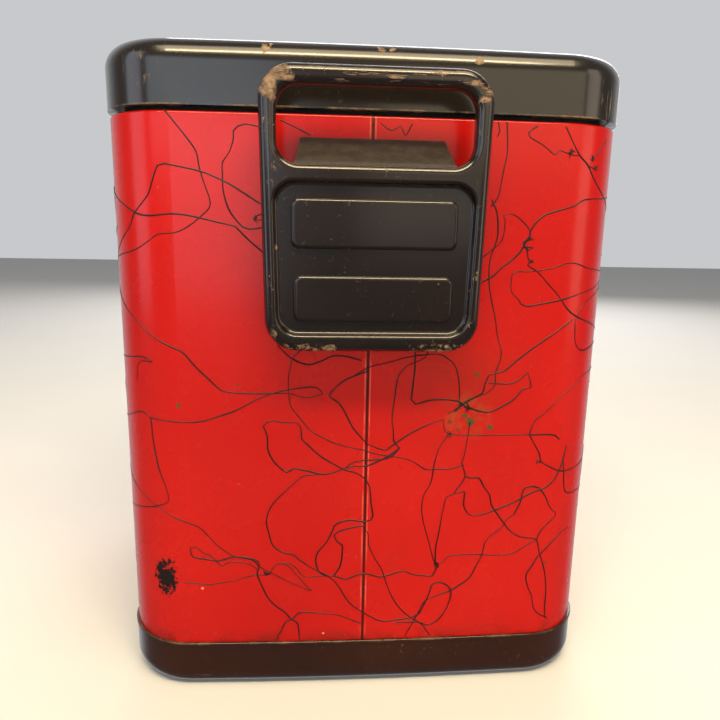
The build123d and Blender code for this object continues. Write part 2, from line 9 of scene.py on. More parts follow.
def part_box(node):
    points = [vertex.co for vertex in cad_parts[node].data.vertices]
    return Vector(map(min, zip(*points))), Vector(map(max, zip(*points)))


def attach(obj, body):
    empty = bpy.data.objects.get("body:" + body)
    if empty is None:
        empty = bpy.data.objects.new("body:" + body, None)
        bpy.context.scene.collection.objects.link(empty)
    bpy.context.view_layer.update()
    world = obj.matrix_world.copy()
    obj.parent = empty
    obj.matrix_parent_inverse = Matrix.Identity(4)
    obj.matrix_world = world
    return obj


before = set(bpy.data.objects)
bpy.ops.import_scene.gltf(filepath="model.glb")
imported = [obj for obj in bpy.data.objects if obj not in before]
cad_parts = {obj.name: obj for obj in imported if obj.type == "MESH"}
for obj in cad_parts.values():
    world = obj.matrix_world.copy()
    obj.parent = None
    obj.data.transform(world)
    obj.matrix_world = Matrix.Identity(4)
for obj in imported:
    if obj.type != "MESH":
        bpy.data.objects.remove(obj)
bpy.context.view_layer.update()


# ---- Finishes ----
# Every finish on the box is enamel, tinplate, nickel, rubber or glass wool, and each is built from
# procedural nodes by the two small classes below.

class Value:
    """A shader socket that takes part in arithmetic: each operator adds one Math node."""

    def __init__(self, finish, socket):
        self.finish = finish
        self.socket = socket

    def math(self, operation, *others):
        inputs = dict(enumerate((self,) + others))
        return self.finish.add("ShaderNodeMath", {"operation": operation}, inputs)

    def flipped(self, operation, other):
        return self.finish.add("ShaderNodeMath", {"operation": operation}, {0: other, 1: self})

    def __add__(self, other):
        return self.math("ADD", other)

    def __radd__(self, other):
        return self.flipped("ADD", other)

    def __sub__(self, other):
        return self.math("SUBTRACT", other)

    def __rsub__(self, other):
        return self.flipped("SUBTRACT", other)

    def __mul__(self, other):
        return self.math("MULTIPLY", other)

    def __pow__(self, other):
        return self.math("POWER", other)

    def rises(self, low, high):
        """0 below low, 1 above high, smooth between; low above high makes it fall instead."""
        settings = {"interpolation_type": "SMOOTHSTEP"}
        inputs = {"Value": self, "From Min": low, "From Max": high}
        return self.finish.add("ShaderNodeMapRange", settings, inputs)


class Finish:
    """A material whose nodes are added by name. Positions are Object coordinates, in metres."""

    def __init__(self, name):
        self.material = bpy.data.materials.new(name)
        self.material.use_nodes = True
        self.tree = self.material.node_tree
        self.surface = next(n for n in self.tree.nodes if n.type == "BSDF_PRINCIPLED")
        place = self.tree.nodes.new("ShaderNodeTexCoord")
        self.place = Value(self, place.outputs["Object"])
        self.x, self.y, self.z = (self.add("ShaderNodeSeparateXYZ", {}, {0: self.place}, out=i)
                                  for i in range(3))

    def add(self, kind, settings, inputs, out=0):
        """Adds a node: its settings first, then the values or links of its sockets."""
        node = self.tree.nodes.new(kind)
        for key, value in settings.items():
            setattr(node, key, value)
        for key, value in inputs.items():
            if isinstance(value, Value):
                self.tree.links.new(value.socket, node.inputs[key])
            else:
                node.inputs[key].default_value = value
        return Value(self, node.outputs[out])

    def noise(self, scale, detail=4.0, roughness=0.55, distortion=0.0, stretch=(1, 1, 1)):
        """Noise from 0 to 1, its features about 1/scale metres across."""
        inputs = {"Vector": self.place, "Scale": stretch}
        vector = self.add("ShaderNodeMapping", {"vector_type": "POINT"}, inputs)
        inputs = {"Vector": vector, "Scale": scale, "Detail": detail, "Roughness": roughness,
                  "Distortion": distortion}
        return self.add("ShaderNodeTexNoise", {"noise_dimensions": "3D"}, inputs)

    def mix(self, share, first, second):
        """A blend of two colours."""
        first, second = ((*c, 1) if isinstance(c, tuple) else c for c in (first, second))
        return self.add("ShaderNodeMix", {"data_type": "RGBA"}, {0: share, 6: first, 7: second}, out=2)

    def near(self, point, radius, soft):
        """1 within the radius of a point, falling to 0 over the soft distance. None skips an axis."""
        total = None
        for here, there in zip((self.x, self.y, self.z), point):
            if there is not None:
                step = (here - there) ** 2
                total = step if total is None else total + step
        return (total ** 0.5).rises(radius + soft, radius)

    def across(self, x, z):
        """The distance from a line along Y through this x and z."""
        return ((self.x - x) ** 2 + (self.z - z) ** 2) ** 0.5

    def bump(self, height, strength, distance=0.001):
        inputs = {"Strength": strength, "Distance": distance, "Height": height}
        return self.add("ShaderNodeBump", {}, inputs)

    def finish(self, varying, **constants):
        """Links what changes over the surface, and sets the rest on the shader's own sockets."""
        for key, value in constants.items():
            self.surface.inputs[key.replace("_", " ").title().replace("Ior", "IOR")].default_value = value
        for key, value in varying.items():
            self.tree.links.new(value.socket, self.surface.inputs[key])
        return self.material


def paint(node, material):
    """Gives a CAD node one material."""
    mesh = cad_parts[node].data
    mesh.materials.clear()
    mesh.materials.append(material)


# ---- Shell ----
# Steel sheet in glossy red enamel, wrapped round and locked in a seam down one end. The enamel has browned
# in a haze beside the plate, with a scorch at one corner, olive and rusty spots and small chips. Painted
# shade darkens the red below the plate, and painted highlights run down both sides of the seam.

SHELL_LOW, SHELL_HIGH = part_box("shell")
FRONT = SHELL_LOW[1]
SEAM_HALF = 0.0006
SCORCH = (-0.0982, -0.1222, 0.061)
OLIVE, RUST, PALE = (0.085, 0.062, 0.014), (0.16, 0.035, 0.008), (0.75, 0.30, 0.16)
SPOTS = (          # x and z in millimetres, radius, colour
    (52, 165, 1.3, OLIVE), (47, 145, 1.2, OLIVE), (50, 142, 2.4, OLIVE), (60, 139, 1.7, OLIVE),
    (40, 142, 1.2, RUST), (54, 147, 0.9, RUST), (44, 138, 0.8, RUST), (84, 137, 0.8, RUST),
    (-88, 150, 1.1, OLIVE), (-61, 160, 0.7, OLIVE), (-80, 56, 0.8, PALE), (94, 66, 0.8, RUST),
    (96, 138, 0.8, RUST), (20, 75, 0.6, RUST), (-20, 30, 0.6, PALE), (70, 35, 0.7, RUST))


def red_enamel():
    f = Finish("red_enamel")
    front = f.y.rises(0, -0.01)
    broad = f.noise(7, 2)
    colour = f.mix(broad.rises(0.35, 0.65), (0.46, 0.0035, 0.0012), (0.53, 0.0055, 0.0016))
    cloud = f.noise(60, 5, 0.6)
    colour = f.mix(cloud.rises(0.5, 0.8) * 0.3, colour, (0.42, 0.008, 0.006))
    haze = f.near((0.048, None, 0.145), 0.001, 0.015) * f.noise(160, 4, 0.6).rises(0.40, 0.68) * front
    colour = f.mix(haze * 0.9, colour, (0.30, 0.085, 0.012))
    # Painted shade: the red darkened in patches below the plate's lower corner on the +X side, where the
    # plate's shadow falls.
    shade = f.near((0.045, None, 0.165), 0.0, 0.05) * f.noise(35).rises(0.3, 0.7) * front * 0.35
    colour = f.mix(shade, colour, (0.24, 0.020, 0.006))
    # Darker red in patches over the lowest few millimetres of the shell, just above the base pan.
    low_darkening = f.z.rises(0.034, 0.027) * f.noise(90).rises(0.35, 0.65) * 0.5
    colour = f.mix(low_darkening, colour, (0.10, 0.012, 0.006))
    damage = f.noise(240, 2, 0.5).rises(0.77, 0.79) * f.noise(22, 1).rises(0.52, 0.6)
    colour = f.mix(damage, colour, (0.30, 0.14, 0.06))
    ragged = (f.noise(500, 2) - 0.5) * 0.0016
    for x, z, radius, spot_colour in SPOTS:
        size = radius / 1000
        reach = f.across(x / 1000, z / 1000) + ragged
        spot = reach.rises(size, size * 0.75) * front
        colour = f.mix(spot, colour, spot_colour)
        damage = damage.math("MAXIMUM", spot)
    around = (f.x - SCORCH[0]) ** 2 + (f.y - SCORCH[1]) ** 2 + ((f.z - SCORCH[2]) * 0.65) ** 2
    scorch = (around ** 0.5 + (f.noise(420, 5, 0.75) - 0.5) * 0.022).rises(0.0062, 0.0050)
    colour = f.mix(scorch, colour, (0.012, 0.005, 0.004))
    damage = damage.math("MAXIMUM", scorch)
    middle = f.x.math("ABSOLUTE")
    groove = middle.rises(SEAM_HALF * 1.2, SEAM_HALF * 0.9) * front
    colour = f.mix(groove * 0.85, colour, (0.05, 0.004, 0.003))
    # Painted highlights: patchy pale pink bands down both sides of the seam's groove, where its folded edges
    # catch the light.
    seam_highlight = middle.rises(SEAM_HALF * 1.2, SEAM_HALF * 1.7) * middle.rises(SEAM_HALF * 2.8, SEAM_HALF * 2.2)
    seam_highlight = seam_highlight * front
    colour = f.mix(seam_highlight * f.noise(70, 3).rises(0.35, 0.6) * 0.35, colour, (0.85, 0.22, 0.14))
    roughness = 0.22 + f.noise(30, 4, 0.6) * 0.10 + damage * 0.4 + haze * 0.15
    peel = f.noise(500, 2) * 0.2 + f.noise(60, 2) * 0.8 - damage * 0.8
    return f.finish({"Base Color": colour, "Roughness": roughness, "Normal": f.bump(peel, 0.05),
                     "Coat Weight": (1 - damage) * 0.3},
                    coat_roughness=0.16, coat_ior=1.5, specular_ior_level=0.3)


paint("shell", red_enamel())


# ---- Enamel strings ----
# Black enamel trailed over the red in long loops and tangles. Each strand is a thin round bead, half
# sunk in the shell, given by its distance round the shell from the seam and its height.

BOW = 0.003
CORNER = 0.034
BOW_RADIUS = (SHELL_HIGH[0] ** 2 + BOW ** 2) / (2 * BOW)
CORNER_X = SHELL_HIGH[0] - CORNER
BOW_ANGLE = math.asin(CORNER_X / (BOW_RADIUS - CORNER))
CORNER_Y = BOW_RADIUS + FRONT - (BOW_RADIUS - CORNER) * math.cos(BOW_ANGLE)
BOW_HALF = BOW_RADIUS * BOW_ANGLE
CORNER_ARC = CORNER * (math.pi / 2 - BOW_ANGLE)
QUARTER = BOW_HALF + CORNER_ARC - CORNER_Y
STRING_RADIUS = 0.00034
STRING_SINK = 0.00016
STRING_LOW, STRING_HIGH = 0.0275, 0.277
STRING_STEP = 0.0022
STRING_TOTAL = 10.0         # metres of strand on the sides and the rear
STRING_WIDTHS = (0.85, 1.3)     # thinnest and thickest, against STRING_RADIUS
WIDTH_CHANGE = 0.08
STRIDE = (0.003, 0.0055)    # length of one step of a wandering strand
STRIDES = (25, 85)          # and how many of them
SHORTEST = 6                # strands of this many points or fewer are dropped
CURL_START, CURL_HOLD, CURL_CHANGE = 5, 0.93, 6.5
KINK_CHANCE = 0.06
KINK_TURN = (0.6, 1.6)
KNOT_SPREAD = 0.0009
KNOT_POINTS = 11
RUNS_ON = 0.112             # a listed strand that ends further round than this runs on over the side
FRONT_EDGE = 0.125          # where the listed strands stop and the wandering ones begin
LINK = 0.001                # how far past that edge a running-on strand starts to wander
LEAST_WAY = 0.5             # a strand nearly along Z is taken to go round at least this much
SEED = 11
# Front strands, in millimetres: distance from the seam, height.
STRANDS = (
    ((-89, 280), (-80, 269), (-76, 263), (-75, 257), (-73, 250), (-71, 244), (-71, 240), (-75, 236),
     (-80, 232), (-86, 229), (-94, 228), (-99, 225), (-107, 221), (-122, 218)),
    ((-118, 225), (-110, 231), (-107, 236), (-103, 240), (-98, 245), (-96, 250), (-94, 255), (-93, 257),
     (-90, 258), (-84, 257), (-74, 255), (-64, 251), (-57, 247), (-49, 242)),
    ((-49, 274), (-55, 275), (-58, 274), (-60, 272), (-60, 269), (-62, 263), (-65, 259), (-65, 254),
     (-65, 248), (-64, 243), (-62, 238), (-57, 232), (-54, 231), (-47, 232)),
    ((-112, 240), (-105, 237), (-98, 236), (-87, 237), (-78, 236), (-69, 234), (-60, 232), (-58, 230),
     (-54, 226), (-48, 221)),
    ((-47, 238), (-50, 237), (-52, 236), (-50, 235), (-47, 235)),
    ((-122, 197), (-109, 189), (-105, 186), (-99, 182), (-91, 178), (-85, 175), (-80, 169), (-74, 163),
     (-70, 159), (-67, 157), (-58, 156), (-47, 156), (-37, 156), (-33, 155), (-29, 154), (-24, 155),
     (-21, 156), (-24, 159), (-29, 159), (-36, 158), (-41, 157), (-47, 155), (-52, 153), (-61, 148),
     (-69, 145), (-75, 143), (-80, 142), (-90, 142), (-103, 143)),
    ((-42, 179), (-37, 174), (-32, 171), (-27, 170), (-21, 172), (-17, 174), (-11, 174), (-3, 172)),
    ((-31, 177), (-35, 173), (-36, 169), (-37, 164), (-37, 157), (-36, 150), (-34, 147), (-30, 142),
     (-27, 138), (-22, 135), (-16, 132), (-10, 130), (-1, 128), (5, 126), (17, 124), (23, 122), (29, 118),
     (35, 118), (41, 118), (48, 120)),
    ((-114, 171), (-106, 172), (-100, 170), (-106, 170), (-110, 167), (-110, 163), (-111, 160)),
    ((-115, 143), (-109, 145), (-103, 143), (-102, 134), (-101, 127), (-99, 117), (-96, 109), (-95, 102),
     (-100, 99), (-106, 97), (-119, 94)),
    ((-118, 106), (-109, 102), (-100, 98), (-95, 95), (-88, 92), (-81, 89), (-77, 85), (-72, 79), (-67, 75),
     (-63, 73), (-55, 71), (-51, 67), (-44, 63), (-37, 59), (-29, 55), (-26, 54)),
    ((-52, 65), (-55, 68), (-61, 70), (-67, 70), (-70, 68), (-73, 71), (-76, 74), (-79, 75), (-82, 78),
     (-85, 78), (-85, 75), (-84, 73), (-79, 72), (-71, 71), (-64, 73), (-56, 72), (-52, 70), (-52, 67),
     (-53, 64), (-51, 58), (-48, 51), (-44, 46), (-39, 42), (-36, 38), (-33, 36), (-32, 27)),
    ((-89, 59), (-84, 59), (-77, 58), (-70, 59), (-64, 60), (-58, 62), (-53, 63), (-48, 63), (-46, 65),
     (-43, 69), (-38, 68), (-35, 65), (-32, 61), (-27, 55), (-26, 54)),
    ((-43, 69), (-37, 69), (-33, 66), (-30, 62), (-22, 62), (-15, 62), (-12, 61), (-9, 60), (-4, 62),
     (1, 63), (8, 61), (13, 62), (20, 64), (24, 62), (31, 61), (35, 61), (37, 66)),
    ((-43, 27), (-43, 29), (-41, 32), (-39, 37), (-36, 38), (-32, 42), (-27, 42), (-18, 41), (-12, 40),
     (-1, 35)),
    ((-49, 140), (-47, 142), (-44, 143), (-41, 142), (-36, 142), (-32, 141), (-31, 137), (-31, 134),
     (-28, 131), (-23, 126), (-17, 122), (-10, 118), (-6, 117), (-1, 114), (2, 109), (3, 100), (4, 94),
     (3, 92), (0, 91), (-7, 92), (-12, 91), (-15, 89), (-16, 86), (-19, 80), (-23, 75), (-24, 70), (-22, 64),
     (-18, 62)),
    ((-49, 140), (-47, 135), (-47, 129), (-45, 124), (-42, 120), (-38, 117), (-36, 118), (-35, 119),
     (-29, 118), (-21, 116), (-15, 117), (-10, 119), (-5, 120), (0, 120), (9, 124), (16, 129), (15, 130),
     (13, 133), (13, 137), (12, 143), (13, 155), (14, 163), (15, 166), (19, 170), (26, 173), (29, 178)),
    ((-21, 116), (-30, 115), (-36, 110), (-42, 104), (-46, 99), (-48, 92), (-47, 86), (-45, 79), (-40, 75),
     (-35, 74), (-32, 71), (-25, 66), (-18, 62), (-13, 57), (-9, 50), (-6, 46), (-1, 42), (2, 40), (7, 37),
     (10, 36), (21, 37), (28, 39), (31, 44), (34, 52), (35, 56), (39, 57), (43, 55), (45, 51), (44, 45),
     (42, 40), (38, 35), (33, 33), (28, 35), (17, 35)),
    ((0, 89), (-6, 88), (-13, 86), (-15, 84), (-13, 80), (-11, 79), (-11, 72), (-12, 67), (-15, 62)),
    ((0, 167), (-10, 163), (-15, 159), (-18, 155), (-14, 152), (-11, 148), (-7, 140), (-3, 135), (1, 131),
     (9, 128), (12, 130), (19, 135), (26, 139), (33, 142), (37, 143), (37, 140), (38, 137), (40, 136),
     (49, 135), (60, 135), (79, 135), (89, 135), (94, 134), (96, 132)),
    ((-10, 119), (-6, 122), (0, 123), (11, 124), (16, 129)),
    ((59, 279), (60, 267), (59, 260), (58, 253), (57, 247), (54, 243)),
    ((54, 246), (57, 240), (58, 231), (57, 226), (55, 219), (55, 212), (56, 204), (59, 193), (61, 183),
     (63, 177), (63, 173), (61, 166), (61, 160), (57, 156), (54, 155), (48, 152), (42, 147)),
    ((50, 219), (56, 224), (60, 228), (61, 234), (61, 237), (60, 239), (62, 240), (66, 239), (71, 235),
     (73, 232), (73, 230)),
    ((122, 249), (112, 248), (99, 247), (93, 244), (86, 242), (80, 240), (76, 237), (73, 232), (73, 230),
     (71, 227), (69, 223), (65, 219), (61, 216), (57, 212), (50, 208)),
    ((73, 230), (71, 228), (70, 227), (72, 224), (73, 220), (74, 219), (73, 217), (78, 214), (83, 209),
     (89, 203), (94, 197), (100, 193), (112, 189), (122, 186)),
    ((122, 214), (111, 215), (104, 216), (97, 218), (91, 218), (86, 216), (81, 215), (74, 214), (68, 214),
     (66, 213), (66, 205), (70, 201), (71, 199), (74, 198), (80, 199), (90, 201), (102, 204), (112, 206),
     (124, 209)),
    ((86, 278), (91, 270), (94, 266), (99, 262), (104, 256), (112, 250), (118, 247)),
    ((73, 278), (69, 275), (70, 273), (76, 270), (82, 266), (84, 268), (87, 267), (91, 266), (94, 266),
     (99, 262), (103, 261)),
    ((111, 274), (107, 270), (103, 266), (100, 263)),
    ((55, 279), (56, 275), (55, 273)),
    ((118, 204), (112, 202), (105, 199), (100, 192), (100, 186), (101, 180), (106, 176), (116, 177)),
    ((98, 192), (91, 187), (84, 182), (77, 177), (71, 172), (65, 167), (58, 165), (57, 163), (56, 160),
     (55, 156), (49, 153), (45, 150), (39, 146)),
    ((58, 161), (70, 161), (77, 166), (78, 163), (79, 159), (75, 158), (71, 153), (66, 150), (60, 147),
     (55, 147), (49, 149), (45, 151), (44, 152), (39, 153), (31, 153), (27, 152), (23, 151), (21, 153),
     (22, 167), (22, 178)),
    ((-6, 165), (1, 169), (9, 171), (20, 174), (29, 175), (34, 175), (39, 172), (42, 168), (44, 158),
     (44, 152)),
    ((80, 135), (83, 130), (86, 125), (87, 121), (92, 118), (99, 115), (110, 115), (122, 116)),
    ((118, 164), (109, 163), (102, 158), (95, 154), (90, 149), (86, 145), (83, 143), (81, 139), (80, 135)),
    ((50, 142), (49, 133), (48, 125), (47, 121), (48, 118), (49, 114), (47, 110), (44, 105), (49, 106),
     (49, 99), (51, 95), (54, 93), (60, 94), (68, 97), (75, 100), (84, 105), (90, 107), (95, 111), (99, 119),
     (101, 128)),
    ((49, 114), (52, 113), (56, 113), (59, 108), (62, 104), (63, 99), (67, 93), (70, 89), (74, 84), (79, 81),
     (84, 80), (88, 79), (90, 72), (93, 64), (95, 56), (96, 48), (96, 39), (97, 33)),
    ((44, 105), (40, 103), (39, 98), (38, 91), (37, 83), (36, 77), (36, 71), (36, 67)),
    ((40, 136), (36, 130), (34, 124), (33, 118), (32, 111), (29, 105), (28, 98), (29, 91), (31, 84),
     (33, 77), (35, 70), (37, 67), (40, 68), (42, 71), (48, 72), (58, 72), (68, 71), (76, 72), (81, 75),
     (88, 79)),
    ((0, 87), (2, 84), (2, 79), (5, 72), (9, 65), (12, 56), (15, 49), (19, 43), (24, 38), (30, 34), (35, 27)),
    ((75, 93), (72, 91), (69, 86), (64, 82), (61, 78), (60, 72), (57, 65), (54, 59), (49, 55), (44, 52),
     (36, 49), (31, 46), (28, 39), (24, 31), (22, 27)),
    ((88, 79), (90, 84), (94, 88), (98, 92), (94, 96), (91, 102), (87, 107), (82, 108), (79, 106), (78, 100),
     (75, 93)),
    ((108, 82), (101, 80), (95, 75), (89, 69), (87, 65), (84, 60), (84, 57), (86, 51), (88, 47), (89, 41),
     (92, 37), (98, 33)),
    ((100, 120), (101, 113), (102, 106), (105, 102), (115, 101)),
    ((-40, 277), (-31, 273), (-27, 271)),
    ((3, 277), (8, 274), (12, 276), (14, 272), (17, 277)),
)
KNOTS = ((73, 229), (72, 225), (74, 219), (101, 265), (104, 261), (89, 267), (45, 151), (48, 149), (-48, 64),
         (37, 67), (40, 136), (-51, 236), (86, 121))


def from_seam(along):
    """The distance round the shell, from minus half its girth to plus half."""
    return (along + 2 * QUARTER) % (4 * QUARTER) - 2 * QUARTER


def on_shell(along, z, out):
    """The point at this distance round from the seam, at this height, and so far off the surface."""
    along = from_seam(along)
    reach = abs(along)
    rear = reach > QUARTER
    if rear:
        reach = 2 * QUARTER - reach
    if reach < BOW_HALF:
        angle = reach / BOW_RADIUS
        x = (BOW_RADIUS + out) * math.sin(angle)
        y = BOW_RADIUS + FRONT - (BOW_RADIUS + out) * math.cos(angle)
    elif reach < BOW_HALF + CORNER_ARC:
        angle = BOW_ANGLE + (reach - BOW_HALF) / CORNER
        x = CORNER_X + (CORNER + out) * math.sin(angle)
        y = CORNER_Y - (CORNER + out) * math.cos(angle)
    else:
        x = SHELL_HIGH[0] + out
        y = CORNER_Y + reach - BOW_HALF - CORNER_ARC
    return (math.copysign(x, along), -y if rear else y, z)


def smooth(points):
    """Points every STRING_STEP or so along a Catmull-Rom curve through the given ones."""
    ends = [2 * points[0] - points[1]] + points + [2 * points[-1] - points[-2]]
    path = []
    for a, b, c, d in zip(ends, ends[1:], ends[2:], ends[3:]):
        pieces = max(1, round((c - b).length / STRING_STEP))
        for step in range(pieces):
            t = step / pieces
            path.append(0.5 * (2 * b + (c - a) * t + (2 * a - 5 * b + 4 * c - d) * t ** 2
                               + (3 * b - a - 3 * c + d) * t ** 3))
    return path + [points[-1]]


def wander(rng, start, heading):
    """A strand that drifts, curls and now and then kinks, until it runs off or grows too long."""
    points = [start]
    curl = rng.gauss(0, CURL_START)
    for _ in range(rng.randint(*STRIDES)):
        curl = curl * CURL_HOLD + rng.gauss(0, CURL_CHANGE)
        if rng.random() < KINK_CHANCE:
            heading += rng.choice((-1, 1)) * rng.uniform(*KINK_TURN)
        step = rng.uniform(*STRIDE)
        heading += curl * step
        place = points[-1] + Vector((math.cos(heading), math.sin(heading))) * step
        if not STRING_LOW < place.y < STRING_HIGH or abs(from_seam(place.x)) < FRONT_EDGE:
            break
        points.append(place)
    return points


def lay_strand(curve, rng, points):
    """Adds one strand to the curve, thinner and thicker along its way."""
    path = smooth(points)
    spline = curve.splines.new("POLY")
    spline.points.add(len(path) - 1)
    width = 1.0
    for point, place in zip(spline.points, path):
        width = min(STRING_WIDTHS[1], max(STRING_WIDTHS[0], width + rng.gauss(0, WIDTH_CHANGE)))
        point.co = (*on_shell(place.x, place.y, -STRING_SINK), 1)
        point.radius = width


def string_piece(name, strands, rng, material):
    curve = bpy.data.curves.new(name, "CURVE")
    curve.dimensions = "3D"
    curve.bevel_depth = STRING_RADIUS
    curve.bevel_resolution = 1
    for points in strands:
        lay_strand(curve, rng, points)
    curve.materials.append(material)
    piece = bpy.data.objects.new(name, curve)
    bpy.context.collection.objects.link(piece)
    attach(piece, "box")


def string_enamel():
    f = Finish("string_enamel")
    fade = f.noise(40, 3)
    colour = f.mix(fade.rises(0.45, 0.75), (0.008, 0.005, 0.005), (0.040, 0.012, 0.008))
    return f.finish({"Base Color": colour, "Roughness": 0.28 + fade * 0.2,
                     "Normal": f.bump(f.noise(900, 2), 0.1)})


def knot(rng, middle):
    """A tight scribble where strands have run together."""
    return [Vector(middle) / 1000 + Vector((rng.gauss(0, KNOT_SPREAD), rng.gauss(0, KNOT_SPREAD)))
            for _ in range(KNOT_POINTS)]


rng = random.Random(SEED)
front_strands = [[Vector(p) / 1000 for p in strand] for strand in STRANDS]
knots = [knot(rng, place) for place in KNOTS]
round_strands = []
for strand in front_strands:
    for end, before in ((strand[0], strand[1]), (strand[-1], strand[-2])):
        if abs(end.x) > RUNS_ON:
            way = (end - before).normalized()
            gap = (FRONT_EDGE + LINK - abs(end.x)) / max(LEAST_WAY, abs(way.x))
            link = end + way * gap
            round_strands.append([end] + wander(rng, link, math.atan2(way.y, way.x)))
laid = 0.0
while laid < STRING_TOTAL:
    start = Vector((rng.uniform(FRONT_EDGE, 4 * QUARTER - FRONT_EDGE),
                    rng.uniform(STRING_LOW, STRING_HIGH)))
    strand = wander(rng, start, rng.uniform(0, 2 * math.pi))
    if len(strand) > SHORTEST:
        round_strands.append(strand)
        laid += sum((b - a).length for a, b in zip(strand, strand[1:]))
string_black = string_enamel()
string_piece("strings_front", front_strands + knots, rng, string_black)
string_piece("strings_round", round_strands, rng, string_black)


# ---- Lid, base pan and carrying plates ----
# Pressed steel in glossy black enamel. Handling has rubbed it brown and down to the copper-coloured
# priming along edges and corners, and dust sits in the gloss.

def black_enamel(name, deep, light, worn, dull=None):
    """Runs between a deep and a light colour. worn takes the Finish and gives the places where the
    enamel has gone, as a Value; dull gives those where it has lost its gloss under dust."""
    f = Finish(name)
    tone = f.noise(12, 3)
    colour = f.mix(tone.rises(0.3, 0.7), deep, light)
    dust = f.noise(420, 3, 0.7).rises(0.62, 0.78) * f.noise(16, 2).rises(0.42, 0.62)
    colour = f.mix(dust * 0.35, colour, (0.16, 0.12, 0.07))
    matt = dull(f) if dull else dust * 0.2
    film = matt * f.noise(180, 5, 0.7).rises(0.35, 0.75) * 0.7
    colour = f.mix(film, colour, (0.050, 0.038, 0.025))
    wear = worn(f)
    bare = f.mix(f.noise(420, 6, 0.75).rises(0.36, 0.64), (0.33, 0.21, 0.115), (0.10, 0.052, 0.026))
    colour = f.mix(wear, colour, bare)
    roughness = 0.20 + dust * 0.3 + wear * 0.38 + matt * 0.45 + f.noise(90, 4) * 0.06
    height = f.noise(90, 3) * 0.5 + f.noise(900, 2) * 0.12 - wear * 0.8
    return f.finish({"Base Color": colour, "Roughness": roughness, "Normal": f.bump(height, 0.05),
                     "Coat Weight": (1 - wear.math("MAXIMUM", matt)) * 0.6},
                    coat_roughness=0.13, coat_ior=1.5)


LID_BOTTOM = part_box("lid_cap")[0][2]
LID_CHIPS = ((-46, 305.5, 1.9), (-44, 307, 0.9), (2, 307.5, 1.0), (8, 307, 1.1), (4, 306.5, 0.7),
             (45, 303.5, 2.0))      # x, z and radius in millimetres
LID_RUB = (-0.098, None, 0.298)
LID_SCUFF = (0.110, None, 0.292)


def lid_wear(f):
    hem = f.z.rises(LID_BOTTOM + 0.0009, LID_BOTTOM + 0.0004) * f.noise(60, 3).rises(0.40, 0.62) * 0.6
    nicks = f.noise(260, 2, 0.5).rises(0.76, 0.79) * f.noise(18, 1).rises(0.5, 0.6)
    worn = hem.math("MAXIMUM", nicks)
    front = f.y.rises(0, -0.01)
    for x, z, radius in LID_CHIPS:
        reach = f.across(x / 1000, z / 1000) + (f.noise(500, 3) - 0.5) * 0.004
        worn = worn.math("MAXIMUM", reach.rises(radius / 1000, radius / 1300) * front)
    smear = f.noise(180, 5, 0.7, stretch=(3, 3, 0.6)).rises(0.56, 0.66)
    rub = f.near(LID_RUB, 0.002, 0.009) * smear
    scuff = f.noise(240, 3, 0.6, stretch=(2.5, 2.5, 0.2)).rises(0.57, 0.63)
    streaks = f.near(LID_SCUFF, 0.004, 0.008) * scuff
    return worn.math("MAXIMUM", (rub + streaks) * front * 0.8)


PAN_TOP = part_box("base_pan")[1][2]


def pan_wear(f):
    bead = f.z.rises(PAN_TOP - 0.0010, PAN_TOP - 0.0004) * f.noise(70, 3).rises(0.42, 0.68) * 0.45
    nicks = f.noise(420, 3, 0.6).rises(0.68, 0.75) * f.noise(30, 2).rises(0.42, 0.62) * 0.7
    scrape = f.noise(160, 4, 0.7, stretch=(0.25, 0.25, 2)).rises(0.62, 0.72)
    foot = f.z.rises(0.012, 0.004) * 0.6
    return bead.math("MAXIMUM", nicks).math("MAXIMUM", scrape * foot)


PLATE_LOW, PLATE_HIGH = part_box("handle_front")
PLATE_TAPER = 0.0283        # how much wider half the plate gets for each metre of height
TAB_LOW = 0.2540
BARE_CORNER = (-0.0415, 0.2890)
RUBBED_CORNER = (0.0425, 0.2865)
RUST_PATCHES = ((-0.027, 0.012), (0.028, 0.013))        # middle and half length along the foot


def plate_wear(f):
    """Rims rubbed along their crest, one top corner worn bare, streaks on the grip, a rusty foot."""
    side = PLATE_HIGH[0] - (PLATE_HIGH[2] - f.z) * PLATE_TAPER - f.x.math("ABSOLUTE")
    top = PLATE_HIGH[2] - f.z
    foot = f.z - PLATE_LOW[2]
    edge = side.math("MINIMUM", top).math("MINIMUM", foot)
    crest = edge.rises(0.0010, 0.0020) * edge.rises(0.0066, 0.0050)
    flecks = f.noise(200, 5, 0.75, stretch=(1, 1, 0.6)).rises(0.60, 0.64)
    worn = crest * flecks * f.noise(24, 1).rises(0.40, 0.55)
    grain = f.noise(260, 6, 0.75, stretch=(0.25, 1, 1.8))
    grip = top.rises(0.0078, 0.0060) * top.rises(0.0008, 0.0020) * grain.rises(0.57, 0.62)
    ragged = (f.noise(240, 5, 0.7) - 0.5) * 0.018
    corner = (f.across(*BARE_CORNER) + ragged).rises(0.0080, 0.0062)
    corner = corner * edge.rises(0.0078, 0.0066) * grain.rises(0.40, 0.47)
    far_corner = (f.across(*RUBBED_CORNER) + ragged).rises(0.0052, 0.0038)
    far_corner = far_corner * edge.rises(0.0074, 0.0060) * grain.rises(0.45, 0.52)
    worn = worn.math("MAXIMUM", grip).math("MAXIMUM", corner).math("MAXIMUM", far_corner)
    for middle, half in RUST_PATCHES:
        span = (f.x - middle).math("ABSOLUTE").rises(half, half - 0.002)
        crust = f.noise(300, 6, 0.75).rises(0.50, 0.56)
        worn = worn.math("MAXIMUM", span * foot.rises(0.0042, 0.003) * crust)
    nicks = f.noise(300, 3, 0.5).rises(0.74, 0.78) * f.noise(30, 1).rises(0.5, 0.6)
    return worn.math("MAXIMUM", nicks)


def tab_dust(f):
    """The tab folded back from the hand opening, behind the plate's lip."""
    face = -PLATE_LOW[1]
    behind = f.y.math("ABSOLUTE").rises(face - 0.0035, face - 0.0055)
    return behind * f.z.rises(TAB_LOW, TAB_LOW + 0.0015)


